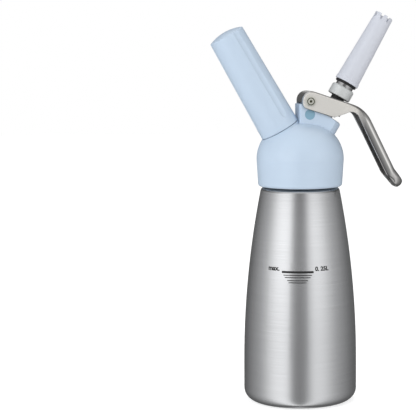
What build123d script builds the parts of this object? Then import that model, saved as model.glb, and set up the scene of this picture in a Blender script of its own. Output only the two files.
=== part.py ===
"""Whipped cream dispenser: bottle, screw-on head, gas charger holder, lever valve and decorator tip.

Millimetres and degrees. The origin is the centre of the bottle's base, +Z is up, and the bottle's
axis is Z. The charger holder leans towards -X and the valve with its tip leans towards +X, both in
the XZ plane.
"""
from build123d import *
import os
from math import atan, cos, degrees, radians, sin, sqrt, tan

# ---------------------------------------------------------------- driving dimensions
# Bottle
bottle_radius = 35.35
bottle_wall = 1.3
foot_corner = 7.8            # radius of the rounded foot
straight_top = 24.0          # height where the side starts to lean in
side_curve = 560.0           # radius of the long curve of the side
shoulder_height = 134.6
shoulder_round = 3.0
shoulder_ledge = 3.92        # from the side at the shoulder in to the neck
neck_wall = 2.0
neck_height = 12.9           # from the shoulder to the mouth
mouth_round = 0.8

# Thread between bottle and head
head_thread_pitch = 3.5
head_thread_turns = 2.25
head_thread_height = 1.15    # how far a ridge stands out
head_thread_room = 0.5       # from a crest to the wall that it faces
head_thread_lead_in = 1.17   # from the mouth down to the end of the thread

# Shape of every thread's ridge
thread_sink = 0.2            # how far its root lies in the wall
thread_root_share = 0.4      # of the pitch
thread_crest_share = 0.2     # of the pitch

# Head
rim_gap = 0.4                # from the bottle's shoulder to the head's rim
skirt_wall = 4.1             # at the rim
rim_round = 1.8
dome_flare = 1.05            # how far the widest line stands out past the rim
dome_rise = 17.0             # from the rim up to the widest line
dome_curve = 22.5            # radius of the dome's shoulder
gasket_ledge = 4.55          # from the skirt's bore in to the cavity
head_cavity_depth = 8.4      # above the gasket's seat
gasket_thickness = 1.8
gasket_width = 3.4
seal_gap = 0.1               # axial room each side of a seal
gasket_side_gap = 0.3

# The two leaning axes
axes_rise = 13.4             # both axes cross the bottle's axis this far above the rim
valve_lean = 30.0
holder_lean = 30.0

# Valve boss and ear on the head
boss_radius = 9.6
boss_drop = 2.15             # from the pivot, along the valve, back to the boss's top
boss_round = 1.6
block_width = 17.0
block_round = 0.7            # rounding of the block's upper edges
ear_left = -1.9              # X of the ear's upright face
ear_shelf_drop = 1.6         # from the pivot down to the step beside it
ear_corner = 1.5
pivot_x = 4.65
pivot_rise = 39.6            # above the crossing of the axes
nose_radius = 3.1            # ear around the pivot
plug_radius = 3.2
plug_depth = 2.0
plug_drop = 8.2              # below the pivot
plug_recess = 0.2

# Pivot pin
pin_radius = 1.5
pin_fit = 0.05               # running clearance of the lever on the pin
pin_head_radius = 2.9
pin_head_thickness = 1.0
pin_head_round = 0.4
pin_dimple_radius = 1.1
pin_dimple_depth = 0.5
pin_end = 1.4                # how far the pin's far end stands out
clip_radius = 2.9
clip_thickness = 0.6
clip_groove_depth = 0.35
clip_gap_width = 1.9
cheek_gap = 0.12             # from a cheek to the pin's head or clip

# Lever
lever_sheet = 1.2
lever_width = 21.6           # across the cheeks
handle_width = 15.0
lever_tail = 4.65            # from the pivot back to the rear edge
web_rise = 6.3               # from the pivot square up to the top line
web_slope = 17.6
belly_drop = 5.1             # from the pivot square down to the lower line
belly_slope = 17.9
belly_reach = 17.3
throat_slope = 18.6
bend_reach = 35.15
handle_slope = 63.3
handle_length = 42.4
handle_depth = 6.4
flare_slope = 52.0
flare_length = 12.2
flare_depth = 6.4
tail_round = 5.2
bend_round = 22.0
flare_round = 6.0
tip_end_round = 3.0
tip_pad_length = 6.5         # the hollow ends this far before the lever's end
tip_open_round = 2.9
throat_round = 2.5
belly_round = 8.0
wrap_drop = 0.7              # the folded web ends this far below the pivot at the rear
neck_in_start = 21.5         # along X from the pivot, where the lever narrows
neck_in_end = 36.0
neck_in_round = 12.0
open_spread = 3.0            # how far the hollow runs out past the open side
stem_slot_side = 0.5         # from the stem's sleeve to the side of the lever's slot
stem_slot_back = 2.1         # how far the slot runs back towards the pivot

# Valve: places along its axis are measured from the crossing
valve_seat = 13.0
seat_pocket_radius = 6.6
bush_radius = 5.0
bush_length = 11.0
bush_relief_radius = 4.2
bush_relief_depth = 4.0
spring_pocket_radius = 5.4
stem_radius = 3.0
stem_bore = 1.7
stem_fit = 0.06              # running clearance of the stem in its bush
stem_port_radius = 1.0
stem_port_rise = 1.4         # above the seat
stem_foot_radius = 2.0
sleeve_radius = 4.3          # sleeve round the stem, from the nose collar to the adapter
sleeve_gap = 0.1             # above the nose collar
o_ring_section = 1.7
o_ring_squeeze = 0.4
o_ring_drop = 3.5            # below the bush's top
seal_radius = 5.4
seal_thickness = 2.0
washer_radius = 4.8
washer_thickness = 1.3
valve_nut_across = 7.0
valve_nut_thickness = 2.6
foot_end = 0.6               # threaded foot showing below the nut
flange_radius = 6.9
flange_thickness = 1.3
nose_collar_radius = 6.2
nose_collar_rise = 8.08      # from the pivot, along the valve, up to the collar's top
nose_collar_height = 6.7     # flange and nose together
nose_collar_dome = 1.0
nose_collar_bulge = 0.35     # how far the dome's middle lies below its top
spring_coil_radius = 4.1
spring_wire = 0.9
spring_coils = 6.5
spring_seat_gap = 0.05

# Tip adapter, tip ring and decorator tip
adapter_gap = 3.75           # between the nose collar and the adapter
adapter_radius = 7.35
adapter_height = 6.75
adapter_edge = 0.7           # chamfer of its upper edge
adapter_rim_edge = 0.25      # chamfer of its lower rim
adapter_neck_radius = 5.7
adapter_neck_height = 1.8
adapter_spigot_radius = 4.8
adapter_spigot_height = 11.0
stem_thread_length = 9.0
tip_thread_pitch = 2.0
tip_thread_turns = 4.0
tip_thread_height = 0.55
tip_thread_room = 0.15
ring_radius = 6.95
ring_bore_gap = 0.15
ring_thickness = 1.4
ring_gap = 0.1
tip_base_radius = 7.4
tip_end_radius = 5.9
tip_length = 48.0
tip_wall = 1.35
tip_bore_step = 0.7          # the bore steps in above the thread
tip_lip = 0.25
tip_lip_height = 2.2
tip_thread_depth = 12.0
tooth_count = 8
tooth_depth = 3.6
tooth_gap_top = 2.5
tooth_gap_bottom = 1.0

# Gas inlet: places along the holder's axis are measured from the crossing
holder_seat = 25.2
spigot_base_radius = 8.0
spigot_base_depth = 8.2
spigot_core_radius = 9.6
spigot_height = 11.8
spigot_mouth_radius = 8.2
holder_thread_pitch = 2.0
holder_thread_turns = 4.0
holder_thread_height = 0.75
holder_thread_room = 0.2
neck_pocket_radius = 4.6
neck_pocket_depth = 9.0
pocket_sink = 1.2            # from the seat down to the neck pocket's floor
needle_radius = 1.2
needle_bore = 0.45
needle_root = 4.0            # pressed in below the pocket's floor
needle_reach = 4.4           # above the pocket's floor
needle_point = 1.3
needle_lip = 0.1             # wall left round the bore at the point
gas_passage = 0.8
piercer_seal_thickness = 1.3
check_chamber_radius = 3.2
check_disc_radius = 2.4
check_disc_thickness = 1.1
check_stem_radius = 0.9
check_stem_length = 5.2
check_fit = 0.08
check_gap = 0.1
cage_thickness = 2.2
cage_drop = 7.2              # from the spigot's base down to the cage
cage_hole_radius = 0.5
cage_hole_circle = 2.0
cage_hole_count = 4
check_spring_radius = 1.75
check_spring_wire = 0.35
check_spring_coils = 4.0

# Gas charger
charger_length = 65.5
charger_radius = 9.3
charger_neck_radius = 4.3
charger_neck_length = 7.5
charger_shoulder = 10.0
charger_wall = 0.9
charger_gap = 0.15
charger_hole_radius = 1.55
charger_hole_depth = 4.5

# Charger holder
holder_gap = 0.3             # seam between holder and head
holder_side_gap = 0.2        # from the holder's rim to the ear beside it
holder_base_radius = 12.65
holder_end_radius = 11.3
holder_crown = 3.2           # wall over the charger's end
holder_dome = 2.4            # rise of the domed end
holder_end_round = 0.7
holder_rim_round = 0.4
holder_clearance = 0.3
insert_wall = 0.7
insert_length = 11.6
flute_count = 3
flute_radius = 7.0
flute_depth = 0.5
flute_rise = 9.0             # from the holder's base up to the flutes
flute_angle = -64.0

# ---------------------------------------------------------------- places worked out from these
side_centre = bottle_radius - side_curve
shoulder_radius = side_centre + sqrt(side_curve ** 2 - (shoulder_height - straight_top) ** 2)
neck_radius = shoulder_radius - shoulder_ledge
mouth_height = shoulder_height + neck_height
rim_height = shoulder_height + rim_gap
skirt_bore = neck_radius + head_thread_height + head_thread_room
rim_radius = skirt_bore + skirt_wall
dome_radius = rim_radius + dome_flare
dome_height = rim_height + dome_rise
head_cavity_radius = skirt_bore - gasket_ledge
head_thread_start = mouth_height - head_thread_lead_in - head_thread_pitch * head_thread_turns
gasket_seat = mouth_height + gasket_thickness + 2 * seal_gap
head_cavity_top = gasket_seat + head_cavity_depth

axes_height = rim_height + axes_rise
pivot_height = axes_height + pivot_rise
pivot_along = pivot_x * sin(radians(valve_lean)) + pivot_rise * cos(radians(valve_lean))
boss_top = pivot_along - boss_drop
bush_top = valve_seat + bush_length
o_ring_place = bush_top - o_ring_drop
stem_port_height = valve_seat + stem_port_rise
nose_collar_top = pivot_along + nose_collar_rise
flange_place = nose_collar_top - nose_collar_height
adapter_base = nose_collar_top + adapter_gap
adapter_top = adapter_base + adapter_height + adapter_neck_height
ring_base = adapter_top + ring_gap
tip_base = ring_base + ring_thickness + ring_gap
tip_bore = adapter_spigot_radius + tip_thread_height + tip_thread_room
spigot_base = holder_seat - spigot_base_depth
spigot_top = holder_seat + spigot_height
pocket_floor = holder_seat - pocket_sink
pin_seat = pocket_floor - needle_root
needle_top = pocket_floor + needle_reach
cage_place = spigot_base - cage_drop
charger_tip = pocket_floor + piercer_seal_thickness + charger_gap
charger_end = charger_tip + charger_length
holder_base = holder_seat + holder_gap
holder_end = charger_end + holder_clearance + holder_crown - holder_dome
flute_start = holder_base + flute_rise
insert_bore = spigot_core_radius + holder_thread_height + holder_thread_room
insert_radius = insert_bore + insert_wall
holder_bore = charger_radius + holder_clearance
holder_taper = degrees(atan((holder_base_radius - holder_end_radius) / (holder_end - holder_base)))
pin_face = lever_width / 2 + cheek_gap

upright = Plane.XZ
crossing = (0, 0, axes_height)
valve_frame = Plane(
    origin=crossing,
    x_dir=(cos(radians(valve_lean)), 0, -sin(radians(valve_lean))),
    z_dir=(sin(radians(valve_lean)), 0, cos(radians(valve_lean))),
)
holder_frame = Plane(
    origin=crossing,
    x_dir=(cos(radians(holder_lean)), 0, sin(radians(holder_lean))),
    z_dir=(-sin(radians(holder_lean)), 0, cos(radians(holder_lean))),
)


# ---------------------------------------------------------------- shared shapes
def rod(radius, low, high):
    """A round bar about the local Z axis."""
    return Pos(0, 0, (low + high) / 2) * Cylinder(radius, high - low)


def ring(radius, bore, low, high):
    """A flat ring about the local Z axis."""
    return rod(radius, low, high) - rod(bore, low - 1, high + 1)


def turned(outline):
    """A body turned about the local Z axis from a flat outline of (radius, height)."""
    return revolve(upright * outline, Axis.Z)


def polygon(corners):
    """A flat face with straight sides."""
    return make_face(Polyline(*corners, close=True).edges())


def rounded(corners, radii):
    """A flat face with straight sides and some rounded corners."""
    face = polygon(corners)
    for corner, radius in zip(corners, radii):
        if radius > 0:
            vertex = face.vertices().sort_by_distance((*corner, 0))[0]
            face = fillet(vertex, radius)
    return face


def cone_outline(points):
    """A turned part's half section, closed along the axis."""
    return polygon([(0, points[0][1]), *points, (0, points[-1][1])])


def thread_ridge(root, crest, pitch, turns, start):
    """One helical ridge from a wall at radius root to a crest that stands out or in."""
    sink = thread_sink if crest > root else -thread_sink
    root_half = thread_root_share * pitch / 2
    crest_half = thread_crest_share * pitch / 2
    section = polygon(
        [(-sink, -root_half), (crest - root, -crest_half), (crest - root, crest_half), (-sink, root_half)]
    )
    path = Helix(pitch=pitch, height=pitch * turns, radius=root)
    placed = Plane(origin=(root, 0, 0), x_dir=(1, 0, 0), z_dir=(0, -1, 0)) * section
    return Pos(0, 0, start) * sweep(placed, path=path, is_frenet=True)


def coil_spring(radius, wire, coils, low, high):
    """A round wire coiled about the local Z axis between two heights."""
    height = high - low - wire
    path = Helix(pitch=height / coils, height=height, radius=radius)
    section = Plane(origin=(radius, 0, 0), z_dir=path % 0) * Circle(wire / 2)
    return Pos(0, 0, low + wire / 2) * sweep(section, path=path, is_frenet=True)


def cross_rod(radius, x, z, low, high):
    """A round bar along Y between two places."""
    return Pos(x, (low + high) / 2, z) * Rot(90, 0, 0) * Cylinder(radius, high - low)


def edges_at(solid, radius, height):
    """Circular edges of a turned body with this radius and height."""
    circles = solid.edges().filter_by(GeomType.CIRCLE)
    return [
        edge for edge in circles
        if abs(edge.radius - radius) < 0.01 and abs(edge.arc_center.Z - height) < 0.01
    ]


def step(point, slope, length):
    """The point at this distance, on a line that falls to the right by slope degrees."""
    return (point[0] + length * cos(radians(slope)), point[1] - length * sin(radians(slope)))


def meet(point_a, slope_a, point_b, slope_b):
    """Where two lines meet, each given by a point and how steeply it falls to the right."""
    ax, az = step((0, 0), slope_a, 1)
    bx, bz = step((0, 0), slope_b, 1)
    dx, dz = point_b[0] - point_a[0], point_b[1] - point_a[1]
    along = (dx * bz - dz * bx) / (ax * bz - az * bx)
    return (point_a[0] + along * ax, point_a[1] + along * az)


def cap_radius(radius, rise):
    """Radius of the sphere whose cap has this rim radius and rise."""
    return (radius ** 2 + rise ** 2) / (2 * rise)


# ---------------------------------------------------------------- bottle
def bottle_skin(inwards, neck, top):
    """The bottle's outer form, moved inwards by a wall."""
    curve = side_curve - inwards
    shoulder = shoulder_height - inwards
    corner_radius = side_centre + sqrt(curve ** 2 - (shoulder - straight_top) ** 2)
    middle = (straight_top + shoulder) / 2
    middle_radius = side_centre + sqrt(curve ** 2 - (middle - straight_top) ** 2)
    foot = foot_corner - inwards
    foot_x = bottle_radius - foot_corner
    slant = foot * sin(radians(45))
    edges = [
        Line((0, inwards), (foot_x, inwards)),
        ThreePointArc((foot_x, inwards), (foot_x + slant, foot_corner - slant), (foot_x + foot, foot_corner)),
        Line((foot_x + foot, foot_corner), (foot_x + foot, straight_top)),
        ThreePointArc((foot_x + foot, straight_top), (middle_radius, middle), (corner_radius, shoulder)),
        Line((corner_radius, shoulder), (neck, shoulder)),
        Line((neck, shoulder), (neck, top)),
        Line((neck, top), (0, top)),
        Line((0, top), (0, inwards)),
    ]
    face = make_face(edges)
    corner = face.vertices().sort_by_distance((corner_radius, shoulder, 0))[0]
    return turned(fillet(corner, shoulder_round - inwards))


def make_bottle():
    shell = bottle_skin(0, neck_radius, mouth_height) - bottle_skin(
        bottle_wall, neck_radius - neck_wall, mouth_height + 1
    )
    outer_edge = edges_at(shell, neck_radius, mouth_height)
    inner_edge = edges_at(shell, neck_radius - neck_wall, mouth_height)
    shell = fillet(outer_edge + inner_edge, mouth_round)
    crest = neck_radius + head_thread_height
    ridge = thread_ridge(neck_radius, crest, head_thread_pitch, head_thread_turns, head_thread_start)
    return shell + ridge


def make_head_gasket():
    outer = skirt_bore - gasket_side_gap
    return ring(outer, outer - gasket_width, mouth_height + seal_gap, gasket_seat - seal_gap)


# ---------------------------------------------------------------- head
def dome_body():
    """The round part of the head: skirt, widest line and dome."""
    centre = dome_radius - dome_curve
    slant = dome_curve * sin(radians(45))
    edges = [
        Line((0, rim_height), (rim_radius, rim_height)),
        Line((rim_radius, rim_height), (dome_radius, dome_height)),
        ThreePointArc(
            (dome_radius, dome_height),
            (centre + slant, dome_height + slant),
            (centre, dome_height + dome_curve),
        ),
        Line((centre, dome_height + dome_curve), (0, dome_height + dome_curve)),
        Line((0, dome_height + dome_curve), (0, rim_height)),
    ]
    face = make_face(edges)
    corner = face.vertices().sort_by_distance((rim_radius, rim_height, 0))[0]
    return turned(fillet(corner, rim_round))


def valve_block():
    """The flat-sided block that carries the valve's bore and the lever's pivot."""
    nose_left = pivot_x - nose_radius
    nose_right = pivot_x + nose_radius
    shelf = pivot_height - ear_shelf_drop
    boss_end = step((0, axes_height), valve_lean - 90, boss_top)
    notch = meet((nose_right, pivot_height), 90, boss_end, valve_lean)
    outline = make_face([
        *Polyline(
            (nose_right, pivot_height), notch, boss_end, (0, axes_height), (ear_left, axes_height),
            (ear_left, shelf), (nose_left, shelf), (nose_left, pivot_height),
        ).edges(),
        ThreePointArc(
            (nose_left, pivot_height), (pivot_x, pivot_height + nose_radius), (nose_right, pivot_height)
        ),
    ])
    plate = extrude(upright * outline, block_width / 2, both=True)
    left_edges = [edge for edge in plate.edges().filter_by(Axis.Z) if abs(edge.center().X - ear_left) < 0.01]
    plate = fillet(left_edges, ear_corner)
    upper_edges = [
        edge for edge in plate.edges()
        if abs(abs(edge.center().Y) - block_width / 2) < 0.01 and edge.center().Z > boss_end[1]
    ]
    plate = fillet(upper_edges, block_round)
    boss = rod(boss_radius, 0, boss_top)
    boss = valve_frame * fillet(edges_at(boss, boss_radius, boss_top), boss_round)
    slab = Pos(0, 0, axes_height) * Box(4 * boss_top, block_width, 4 * boss_top)
    return plate + (boss & slab)


def make_head_casting():
    holder_boss = holder_frame * rod(holder_base_radius, 0, holder_seat)
    head = dome_body() + valve_block() + holder_boss
    head -= rod(skirt_bore, rim_height - 1, gasket_seat)
    head -= rod(head_cavity_radius, gasket_seat - 1, head_cavity_top)
    head -= valve_frame * rod(seat_pocket_radius, 0, valve_seat)
    head -= valve_frame * rod(bush_radius, 0, bush_top)
    head -= valve_frame * rod(spring_pocket_radius, bush_top, boss_top + 1)
    head -= holder_frame * rod(check_chamber_radius, 0, spigot_base)
    head -= holder_frame * rod(spigot_base_radius, spigot_base, holder_seat + 1)
    head -= holder_frame * rod(holder_base_radius + holder_side_gap, holder_seat, holder_end)
    head -= cross_rod(pin_radius, pivot_x, pivot_height, -block_width, block_width)
    pocket = plug_depth + plug_recess
    for side in (-1, 1):
        face = side * block_width / 2
        low, high = sorted((face - side * pocket, face + side))
        head -= cross_rod(plug_radius, pivot_x, pivot_height - plug_drop, low, high)
    start = head_thread_start - head_thread_pitch / 2
    crest = skirt_bore - head_thread_height
    return head + thread_ridge(skirt_bore, crest, head_thread_pitch, head_thread_turns, start)


def make_side_plugs():
    """Two plugs that close the block's cross drilling."""
    outer = block_width / 2 - plug_recess
    height = pivot_height - plug_drop
    near = cross_rod(plug_radius, pivot_x, height, -outer, plug_depth - outer)
    far = cross_rod(plug_radius, pivot_x, height, outer - plug_depth, outer)
    return Compound(children=[near, far])


# ---------------------------------------------------------------- pivot
def pivot_turned(outline):
    """A turned body laid along Y on the pivot's axis, its local height running towards +Y."""
    return Pos(pivot_x, 0, pivot_height) * Rot(-90, 0, 0) * turned(outline)


def make_pivot_pin():
    head_out = -pin_face - pin_head_thickness
    far_end = lever_width / 2 + pin_end
    groove_low = pin_face
    groove_high = pin_face + clip_thickness
    groove = pin_radius - clip_groove_depth
    return pivot_turned(cone_outline([
        (pin_dimple_radius - pin_dimple_depth, head_out + pin_dimple_depth),
        (pin_dimple_radius, head_out),
        (pin_head_radius - pin_head_round, head_out),
        (pin_head_radius, head_out + pin_head_round),
        (pin_head_radius, -pin_face),
        (pin_radius, -pin_face),
        (pin_radius, groove_low),
        (groove, groove_low),
        (groove, groove_high),
        (pin_radius, groove_high),
        (pin_radius, far_end),
    ]))


def make_pivot_clip():
    groove = pin_radius - clip_groove_depth
    clip = ring(clip_radius, groove, pin_face, pin_face + clip_thickness)
    mouth = Pos(clip_radius, 0, pin_face) * Box(2 * clip_radius, clip_gap_width, 4 * clip_thickness)
    return Pos(pivot_x, 0, pivot_height) * Rot(-90, 0, 0) * (clip - mouth)


# ---------------------------------------------------------------- lever
def lever_side(web, spread):
    """The lever's side outline. web moves the folded sides inwards, spread moves the open ones out."""
    pivot = (pivot_x, pivot_height)
    rear = (pivot_x - lever_tail + web, pivot_height)
    top = step(pivot, web_slope - 90, web_rise)
    bend = step(top, web_slope, bend_reach)
    flare = step(bend, handle_slope, handle_length)
    end = step(flare, flare_slope, flare_length)
    top_in = step(top, web_slope + 90, web)
    handle_in = step(bend, handle_slope + 90, web)
    flare_in = step(flare, flare_slope + 90, web)
    end_in = step(end, flare_slope, -tip_pad_length if web > 0 else 0)
    handle_open = step(bend, handle_slope + 90, handle_depth + spread)
    flare_open = step(flare, flare_slope + 90, flare_depth + spread)
    belly = step(pivot, belly_slope + 90, belly_drop + spread)
    belly_low = step(step(pivot, belly_slope + 90, belly_drop), belly_slope, belly_reach)
    throat = step(belly_low, 90, spread)
    corners = [
        meet(rear, 90, top_in, web_slope),
        meet(top_in, web_slope, handle_in, handle_slope),
        meet(handle_in, handle_slope, flare_in, flare_slope),
        meet(flare_in, flare_slope, end_in, flare_slope + 90),
        meet(end_in, flare_slope + 90, flare_open, flare_slope),
        meet(flare_open, flare_slope, handle_open, handle_slope),
        meet(handle_open, handle_slope, throat, -throat_slope),
        meet(throat, -throat_slope, belly, belly_slope),
        meet(belly, belly_slope, rear, 90),
    ]
    if spread > 0:
        radii = [tail_round - web, bend_round - web, flare_round + web, tip_end_round - web, 0, 0, 0, 0, 0]
    else:
        radii = [
            tail_round, bend_round, flare_round, tip_end_round, tip_open_round, flare_round,
            throat_round, belly_round, tail_round,
        ]
    return rounded(corners, radii)


def lever_plan(inwards):
    """The lever seen from above: wide cheeks that narrow to the handle."""
    wide = lever_width / 2 - inwards
    slim = handle_width / 2 - inwards
    rear = pivot_x - 3 * lever_tail
    front = pivot_x + bend_reach + handle_length
    start = pivot_x + neck_in_start
    end = pivot_x + neck_in_end
    corners = [
        (rear, wide), (start, wide), (end, slim), (front, slim),
        (front, -slim), (end, -slim), (start, -wide), (rear, -wide),
    ]
    radii = [0, neck_in_round, neck_in_round, 0, 0, neck_in_round, neck_in_round, 0]
    return rounded(corners, radii)


def lever_form(web, spread):
    """The lever's outer form, or the hollow inside it."""
    side = extrude(upright * lever_side(web, spread), lever_width, both=True)
    low = pivot_height - 2 * handle_length
    plan = Pos(0, 0, low) * extrude(lever_plan(web), 3 * handle_length)
    form = side & plan
    top = step((pivot_x, pivot_height), web_slope - 90, web_rise)
    flare = step(step(top, web_slope, bend_reach), handle_slope, handle_length)
    end = step(flare, flare_slope, flare_length)
    half = handle_width / 2
    away = (sin(radians(flare_slope)), 0, cos(radians(flare_slope)))
    along = (cos(radians(flare_slope)), 0, -sin(radians(flare_slope)))
    end_frame = Plane(origin=(end[0], 0, end[1]), x_dir=along, z_dir=away)
    deep = 2 * flare_depth
    from_left = (Align.MIN, Align.CENTER, Align.CENTER)
    back = half - web + (tip_pad_length if web > 0 else 0)
    block = Box(3 * handle_width, 2 * handle_width, 2 * deep, align=from_left)
    round_end = Pos(-back, 0, 0) * Cylinder(half - web, 2 * deep)
    return form - end_frame * (Pos(-back, 0, 0) * block - round_end)


def stem_hole():
    """The slot in the lever's web that the valve stem and its sleeve pass through."""
    wide = sleeve_radius + stem_slot_side
    slot = rod(wide, flange_place, adapter_base)
    slot += Pos(-stem_slot_back, 0, 0) * rod(wide, flange_place, adapter_base)
    slot += Pos(-stem_slot_back / 2, 0, (flange_place + adapter_base) / 2) * Box(
        stem_slot_back, 2 * wide, adapter_base - flange_place
    )
    return valve_frame * slot


def make_lever():
    lever = lever_form(0, 0) - lever_form(lever_sheet, open_spread)
    rear_low = Pos(pivot_x - lever_tail, 0, pivot_height - wrap_drop - belly_drop) * Box(
        4 * lever_sheet, lever_width - 2 * lever_sheet, 2 * belly_drop
    )
    lever -= rear_low
    lever -= stem_hole()
    return lever - cross_rod(pin_radius + pin_fit, pivot_x, pivot_height, -lever_width, lever_width)


# ---------------------------------------------------------------- valve
def make_valve_bush():
    """Guide bush of the stem, with a groove for its O-ring and a relief at the seat."""
    bore = stem_radius + stem_fit
    groove = bore + o_ring_section - o_ring_squeeze
    bush = ring(bush_radius, bore, valve_seat, bush_top)
    bush -= rod(bush_relief_radius, valve_seat - 1, valve_seat + bush_relief_depth)
    groove_low = o_ring_place - o_ring_section / 2
    groove_high = o_ring_place + o_ring_section / 2
    return valve_frame * (bush - rod(groove, groove_low, groove_high))


def make_stem_o_ring():
    bore = stem_radius + stem_fit
    outer = bore + o_ring_section - o_ring_squeeze
    low = o_ring_place - o_ring_section / 2
    high = o_ring_place + o_ring_section / 2
    return valve_frame * ring(outer, bore, low, high)


def valve_seal_low():
    return valve_seat - seal_gap - seal_thickness


def make_valve_stem():
    washer_top = valve_seal_low()
    foot = washer_top - washer_thickness - valve_nut_thickness - foot_end
    stem_top = adapter_base + stem_thread_length
    stem = turned(cone_outline([
        (stem_foot_radius, foot),
        (stem_foot_radius, washer_top),
        (stem_radius, washer_top),
        (stem_radius, stem_top),
    ]))
    stem -= rod(stem_bore, stem_port_height, stem_top + 1)
    port = Rot(90, 0, 0) * Cylinder(stem_port_radius, 4 * stem_radius)
    stem -= Pos(0, 0, stem_port_height) * port
    stem -= Pos(0, 0, stem_port_height) * Rot(0, 0, 90) * port
    return valve_frame * stem


def make_valve_seal():
    low = valve_seal_low()
    return valve_frame * ring(seal_radius, stem_radius, low, low + seal_thickness)


def make_valve_washer():
    high = valve_seal_low()
    return valve_frame * ring(washer_radius, stem_foot_radius, high - washer_thickness, high)


def make_valve_nut():
    high = valve_seal_low() - washer_thickness
    nut = extrude(RegularPolygon(valve_nut_across / 2, 6, major_radius=False), valve_nut_thickness)
    nut = Pos(0, 0, high - valve_nut_thickness) * nut
    return valve_frame * (nut - rod(stem_foot_radius, 0, valve_seat))


def make_thrust_collar():
    """Flange that the spring pushes on, with the domed nose that the lever presses."""
    shoulder = flange_place + flange_thickness
    dome_low = nose_collar_top - nose_collar_dome
    edges = [
        Line((stem_radius, flange_place), (flange_radius, flange_place)),
        Line((flange_radius, flange_place), (flange_radius, shoulder)),
        Line((flange_radius, shoulder), (nose_collar_radius, shoulder)),
        Line((nose_collar_radius, shoulder), (nose_collar_radius, dome_low)),
        ThreePointArc(
            (nose_collar_radius, dome_low),
            ((nose_collar_radius + stem_radius) / 2, nose_collar_top - nose_collar_bulge),
            (stem_radius, nose_collar_top),
        ),
        Line((stem_radius, nose_collar_top), (stem_radius, flange_place)),
    ]
    return valve_frame * turned(make_face(edges))


def make_stem_sleeve():
    """Sleeve that closes the gap round the stem between the nose collar and the adapter."""
    return valve_frame * ring(sleeve_radius, stem_radius, nose_collar_top + sleeve_gap, adapter_base)


def make_valve_spring():
    low = bush_top + spring_seat_gap
    high = flange_place - spring_seat_gap
    return valve_frame * coil_spring(spring_coil_radius, spring_wire, spring_coils, low, high)


def make_tip_adapter():
    """Metal collar screwed on the stem, with the threaded spigot for the tip."""
    shoulder = adapter_base + adapter_height
    top = adapter_top + adapter_spigot_height
    body = turned(cone_outline([
        (adapter_radius - adapter_rim_edge, adapter_base),
        (adapter_radius, adapter_base + adapter_rim_edge),
        (adapter_radius, shoulder - adapter_edge),
        (adapter_radius - adapter_edge, shoulder),
        (adapter_neck_radius, shoulder),
        (adapter_neck_radius, adapter_top),
        (adapter_spigot_radius, adapter_top),
        (adapter_spigot_radius, top),
    ]))
    body -= rod(stem_radius, adapter_base - 1, adapter_base + stem_thread_length)
    body -= rod(stem_bore, adapter_base, top + 1)
    crest = adapter_spigot_radius + tip_thread_height
    start = tip_base + tip_thread_pitch / 2
    ridge = thread_ridge(adapter_spigot_radius, crest, tip_thread_pitch, tip_thread_turns, start)
    return valve_frame * (body + ridge)


def make_tip_ring():
    bore = adapter_spigot_radius + tip_thread_height + ring_bore_gap
    return valve_frame * ring(ring_radius, bore, ring_base, ring_base + ring_thickness)


def make_decorator_tip():
    """Tapered tip with a crown of teeth."""
    top = tip_base + tip_length
    body = turned(cone_outline([
        (tip_base_radius + tip_lip, tip_base),
        (tip_base_radius + tip_lip, tip_base + tip_lip_height),
        (tip_base_radius, tip_base + tip_lip_height + tip_lip),
        (tip_end_radius, top),
    ]))
    thread_top = tip_base + tip_thread_depth
    bore_low = tip_bore - tip_bore_step
    body -= turned(cone_outline([
        (tip_bore, tip_base - 1),
        (tip_bore, thread_top),
        (bore_low, thread_top + tip_wall),
        (tip_end_radius - tip_wall, top + 1),
    ]))
    notch = extrude(upright * polygon([
        (-tooth_gap_top / 2, top + 1),
        (tooth_gap_top / 2, top + 1),
        (tooth_gap_bottom / 2, top - tooth_depth),
        (-tooth_gap_bottom / 2, top - tooth_depth),
    ]), 2 * tip_end_radius)
    for index in range(tooth_count):
        body -= Rot(0, 0, (index + 0.5) * 360 / tooth_count) * notch
    crest = tip_bore - tip_thread_height
    ridge = thread_ridge(tip_bore, crest, tip_thread_pitch, tip_thread_turns, tip_base + tip_thread_pitch)
    return valve_frame * (body + ridge)


# ---------------------------------------------------------------- gas inlet
def make_charger_spigot():
    """Threaded stub that the charger holder screws on to."""
    body = rod(spigot_base_radius, spigot_base, holder_seat)
    body += rod(spigot_core_radius, holder_seat, spigot_top)
    pocket_high = pocket_floor + neck_pocket_depth
    body -= turned(cone_outline([
        (neck_pocket_radius, pocket_floor),
        (neck_pocket_radius, pocket_high),
        (spigot_mouth_radius, spigot_top),
        (spigot_mouth_radius, spigot_top + 1),
    ]))
    body -= rod(gas_passage, spigot_base - 1, pocket_floor + 1)
    body -= rod(needle_radius, pin_seat, pocket_floor + 1)
    crest = spigot_core_radius + holder_thread_height
    start = holder_base + holder_thread_pitch / 2
    ridge = thread_ridge(spigot_core_radius, crest, holder_thread_pitch, holder_thread_turns, start)
    return holder_frame * (body + ridge)


def make_piercing_pin():
    needle = turned(cone_outline([
        (needle_radius, pin_seat),
        (needle_radius, needle_top - needle_point),
        (needle_bore + needle_lip, needle_top),
    ]))
    return holder_frame * (needle - rod(needle_bore, pin_seat - 1, needle_top + 1))


def make_piercer_seal():
    outer = neck_pocket_radius - check_gap
    seal = ring(outer, needle_radius, pocket_floor, pocket_floor + piercer_seal_thickness)
    return holder_frame * seal


def check_disc_top():
    return spigot_base - check_gap


def make_check_valve():
    """Small valve that lets gas in and not out."""
    high = check_disc_top()
    low = high - check_disc_thickness
    return holder_frame * (
        rod(check_disc_radius, low, high) + rod(check_stem_radius, high - check_stem_length, low)
    )


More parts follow.
